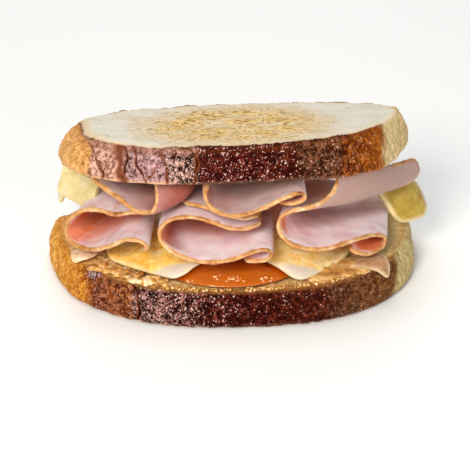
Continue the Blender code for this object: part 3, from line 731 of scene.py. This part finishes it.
def edges_of(piece):
    """Both ends of each of a piece's edges, and how many edges meet at each point."""
    ends = np.empty(len(piece.data.edges) * 2, np.int32)
    piece.data.edges.foreach_get("vertices", ends)
    a, b = ends.reshape(-1, 2).T
    return a, b, np.bincount(ends, minlength=len(piece.data.vertices))


def spread(piece, values, rounds):
    """Even out values over a piece's neighbouring points."""
    a, b, count = edges_of(piece)
    for _ in range(rounds):
        values = (np.bincount(a, values[b], len(values)) + np.bincount(b, values[a], len(values))) / count
    return values


def bend_of(piece):
    """How tightly the surface is folded in on itself at each point, from 0 to 1."""
    points, normals = points_of(piece), normals_of(piece)
    a, b, count = edges_of(piece)
    span = points[b] - points[a]
    turn = np.einsum("ij,ij->i", normals[b] - normals[a], span) / np.maximum((span ** 2).sum(1), 1e-6)
    turn = (np.bincount(a, turn, len(points)) + np.bincount(b, turn, len(points))) / count
    return ease(-spread(piece, turn, 8), 0.015, 0.07)


def pocket_of(piece):
    """How far each point is inside a tight fold and inside a wide one, both from 0 to 1.

    A tight fold's walls are up to 3 to 7 mm apart, and a wide one's up to 11 to 17 mm.
    """
    tree = BVHTree.FromPolygons([vertex.co for vertex in piece.data.vertices],
                                [face.vertices for face in piece.data.polygons])
    gap = np.full(len(piece.data.vertices), 99.0)  # far away, unless the piece is in front of itself
    for i, vertex in enumerate(piece.data.vertices):
        found = tree.ray_cast(vertex.co + 0.3 * MM * vertex.normal, vertex.normal, 20.0 * MM)[3]
        if found is not None:
            gap[i] = found / MM
    return spread(piece, 1.0 - ease(gap, 3.0, 7.0), 24), spread(piece, 1.0 - ease(gap, 11.0, 17.0), 16)


# Painted shade: where the meat is painted darker, as shade under the bread and in its folds: from x, to x,
# above z, how much
PAINTED_SHADE = {"ham_upper_left": (-75.0, -20.0, 20.0, 1.0), "ham_lower_right": (20.0, 28.0, 36.0, 0.4),
           "ham_upper_middle": (-40.0, -30.0, 30.0, 0.35), "ham_lower_middle": (-19.0, -27.0, 5.0, 0.8)}
# How orange the painted light is that comes through each slice into its folds
ORANGE = {"ham_lower_left": 0.85, "ham_lower_middle": 0.85, "ham_lower_right": 0.2, "ham_upper_left": 0.7,
          "ham_upper_middle": 0.3, "ham_flat": 0.4}


def rolled_part(node):
    """Whether a spot is on the rolled part of the right slice, whose long edges are tucked in."""
    return lambda spot: "lower_right" in node and 38.5 < spot.x < 63.0 and spot.z > 38.0


def ham_slice(node, name):
    """Give a packed fold of ham its soft waves, its rough rind and what its material reads."""
    piece = detailed_copy(node, name, 3)
    rim = rim_distance(piece, node, rolled_part(node))
    points = points_of(piece)
    mark(piece, "rim", rim)
    tight, wide = pocket_of(piece)
    # The right slice is rolled up above 34 mm, and the outside of that tube doesn't glow: it is painted a
    # darker, greyer pink as shade instead
    rolled = ease(points[:, 2], 34.0, 38.0) if node == "ham_lower_right" else np.zeros(len(points))
    outside = 1.0 - ease(points[:, 1], -25.0, -20.0)
    tube = rolled * np.maximum(ease(points[:, 0], 33.0, 42.0), outside * ease(points[:, 0], 26.0, 31.0))
    orange = np.maximum(ORANGE[node], rolled)
    glow = np.maximum(bend_of(piece), tight) * (0.4 + 0.6 * orange) * (1.0 - tube)
    if node == "ham_lower_middle":  # no light reaches the right of its top
        glow *= 1.0 - ease(points[:, 0], 0.0, 5.0) * ease(points[:, 2], 25.0, 28.0)
    if node == "ham_lower_right":  # the low curl at its right end lets most light through
        low_end = ease(points[:, 0], 42.0, 48.0) * (1.0 - ease(points[:, 2], 30.0, 33.0))
        glow = np.maximum(glow, ease(tight, 0.05, 0.4) * low_end)
    mark(piece, "glow", glow)
    # Deep: inside a wide fold, behind the filling's curved front, where light glowing in is painted orange;
    # where a slice lets little light through, it is painted shade instead
    deep = ease(points[:, 1] - 0.0045 * points[:, 0] ** 2, -27.0, -5.0) * wide
    deep = np.maximum(deep, rolled * ease(points[:, 0], 22.0, 28.0)) * (1.0 - tube)
    mark(piece, "deep", deep * orange)
    # Painted shade under the bread, and in the deep folds of slices that let little light through
    start, end, height, amount = PAINTED_SHADE.get(node, (0.0, 1.0, 0.0, 0.0))
    painted_shade = amount * ease(points[:, 0], start, end) * ease(points[:, 2], height - 3.0, height + 2.0)
    if node == "ham_lower_middle":
        painted_shade *= wide
    mark(piece, "painted_shade", np.maximum(painted_shade * (1.0 - tube), 0.9 * deep * (1.0 - orange)))
    mark(piece, "tube", tube)
    roughen(piece, weigh(piece, "meat", ease(rim, 0.05, 0.5)), depth=0.55, grain=7.0)
    roughen(piece, weigh(piece, "rind", 1.0 - ease(rim, 0.15, 0.6)), depth=0.8, grain=3.4)
    roughen(piece, weigh(piece, "crags", 1.0 - ease(rim, 0.1, 0.35)), depth=0.3, grain=0.9)
    return piece


def ham_material():
    """Cooked ham: wet pale meat with fine fibres, and a smoked orange-brown rind, with painted orange light
    and painted shade in its folds.
    """
    material, shader, add = new_material("cooked_smoked_ham", IOR=1.4, Specular_IOR_Level=0.06,
                                         Subsurface_Weight=0.3, Subsurface_Scale=2.0 * MM,
                                         Subsurface_Radius=(1.0, 0.4, 0.25))
    place = add("TexCoord").outputs["Object"]
    rim, glow, deep, painted_shade, tube = (add("Attribute", attribute_name=word).outputs["Fac"]
                                      for word in ("rim", "glow", "deep", "painted_shade", "tube"))
    cloud = add("TexNoise", {"Vector": place, "Scale": 1 / (9 * MM), "Detail": 5.0, "Distortion": 0.4})
    meat = add("ValToRGB", {"Fac": cloud}, ((0.3, "#E8C6CC"), (0.5, "#F3DEE1"), (0.7, "#FBF1F0")))
    # Painted shade: the outside of the rolled tube is painted a darker, greyer pink
    meat = add("Mix", {FACTOR: tube, UNDER: meat, OVER: linear("#B29186")})
    # Painted light: an orange glow painted into the tight bends and the deep folds
    glow = add("Math", {0: glow, 1: 0.9}, operation="MULTIPLY")
    meat = add("Mix", {FACTOR: glow, UNDER: meat, OVER: linear("#EA7A2C")})
    inner = add("Math", {0: deep, 1: 0.8}, operation="MULTIPLY")
    meat = add("Mix", {FACTOR: inner, UNDER: meat, OVER: linear("#EE8444")})
    # Painted shade: darker where shade falls under the bread and in the folds
    meat = add("Mix", {FACTOR: painted_shade, UNDER: meat, OVER: linear("#A0604E")}, blend_type="MULTIPLY")
    grain = add("TexNoise", {"Vector": place, "Scale": 1 / (2.2 * MM), "Detail": 6.0, "Roughness": 0.68})
    ragged = add("Math", {0: grain, 1: 0.25, 2: rim}, operation="MULTIPLY_ADD")
    band = add("ValToRGB", {"Fac": ragged}, ((0.25, 1.0), (0.39, 0.0)))
    tone = add("TexNoise", {"Vector": place, "Scale": 1 / (6 * MM), "Detail": 5.0, "Roughness": 0.7})
    rind = add("ValToRGB", {"Fac": tone}, ((0.3, "#8C5228"), (0.42, "#BC8248"), (0.54, "#D2A26A"),
                                           (0.68, "#E8C898")))
    colour = add("Mix", {FACTOR: band, UNDER: meat, OVER: rind})
    rough = add("ValToRGB", {"Fac": band}, ((0.0, 0.36), (1.0, 0.55)))
    bump = add("Bump", {"Height": grain, "Distance": 0.22 * MM, "Strength": 0.5})
    set_inputs(material, shader, {"Base Color": colour, "Roughness": rough, "Normal": bump})
    return material


cooked_ham = ham_material()
for node in ("ham_lower_left", "ham_lower_middle", "ham_lower_right", "ham_upper_left", "ham_upper_middle",
             "ham_flat"):
    ham = ham_slice(node, node + "_fold")
    ham.data.materials.append(cooked_ham)
    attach(ham, "root")
    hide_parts(node)

# A scrap of ham that is tucked upright between the lower folds, behind their fronts, where a gap shows only
# shade; it is painted with shade and an orange glow
scrap = hung_sheet("ham_scrap_in_painted_shade", (16.0, -3.0, 31.0), (84, 0, 14), (17.0, 25.0),
                   dict(rim=1.0, glow=0.35, deep=0.5, painted_shade=0.6, tube=0.0),
                   depth=5.0, grain=9.0, thickness=1.8, edge=0.5, segments=2)
scrap.data.materials.append(cooked_ham)
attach(scrap, "root")

# The stage: a plain pale floor, soft light from the upper left and the photograph's camera,
# 25 degrees above level and 5 degrees round to the left.
bpy.ops.object.select_all(action="DESELECT")
bpy.ops.mesh.primitive_plane_add(size=6.0, location=(0, 0, 0))
floor = bpy.context.object
floor.name = "floor"
floor_material, shader, _ = new_material("matt_white_paper", Roughness=0.9)
shader.inputs["Base Color"].default_value = linear("#F2F2F0")
floor.data.materials.append(floor_material)

world = bpy.data.worlds.new("studio")
bpy.context.scene.world = world
world.use_nodes = True
sky = world.node_tree.nodes["Background"]
sky.inputs["Color"].default_value = linear("#FAFBFF")
sky.inputs["Strength"].default_value = 0.25


def soft_light(name, place, size, power, colour, target=(0.0, 0.0, 0.03)):
    """A square panel of light that faces the sandwich, or another target."""
    bpy.ops.object.light_add(type="AREA", location=place)
    light = bpy.context.object
    light.name = name
    light.data.size = size
    light.data.energy = power
    light.data.color = linear(colour)[:3]
    light.rotation_euler = (Vector(place) - Vector(target)).to_track_quat("Z", "Y").to_euler()


soft_light("window", (-0.3, -0.78, 0.55), 0.3, 8.5, "#FFFBF4")
soft_light("above", (-0.1, 0.05, 0.9), 0.5, 2.6, "#FFFFFF")
soft_light("fill", (0.35, -0.95, 0.32), 0.5, 3.0, "#F8FAFF")
soft_light("backdrop", (0.1, 1.1, 0.9), 0.8, 7.0, "#FFFFFF", (0.1, 0.85, 0.0))

AZIMUTH, ELEVATION = math.radians(-5.0), math.radians(25.0)
AIM = Vector((0.0, 0.0, 0.0192))
SENSOR_WIDTH, FOCAL_LENGTH_PX, PHOTO_WIDTH_PX = 36.0, 2400, 470
toward_camera = Vector((math.sin(AZIMUTH) * math.cos(ELEVATION), -math.cos(AZIMUTH) * math.cos(ELEVATION),
                        math.sin(ELEVATION)))
DISTANCE = 0.96
bpy.ops.object.camera_add(location=AIM + toward_camera * DISTANCE,
                          rotation=toward_camera.to_track_quat("Z", "Y").to_euler())
camera = bpy.context.object
camera.data.sensor_width = SENSOR_WIDTH
camera.data.lens = SENSOR_WIDTH * FOCAL_LENGTH_PX / PHOTO_WIDTH_PX
bpy.context.scene.camera = camera
bpy.context.scene.view_settings.view_transform = "Standard"
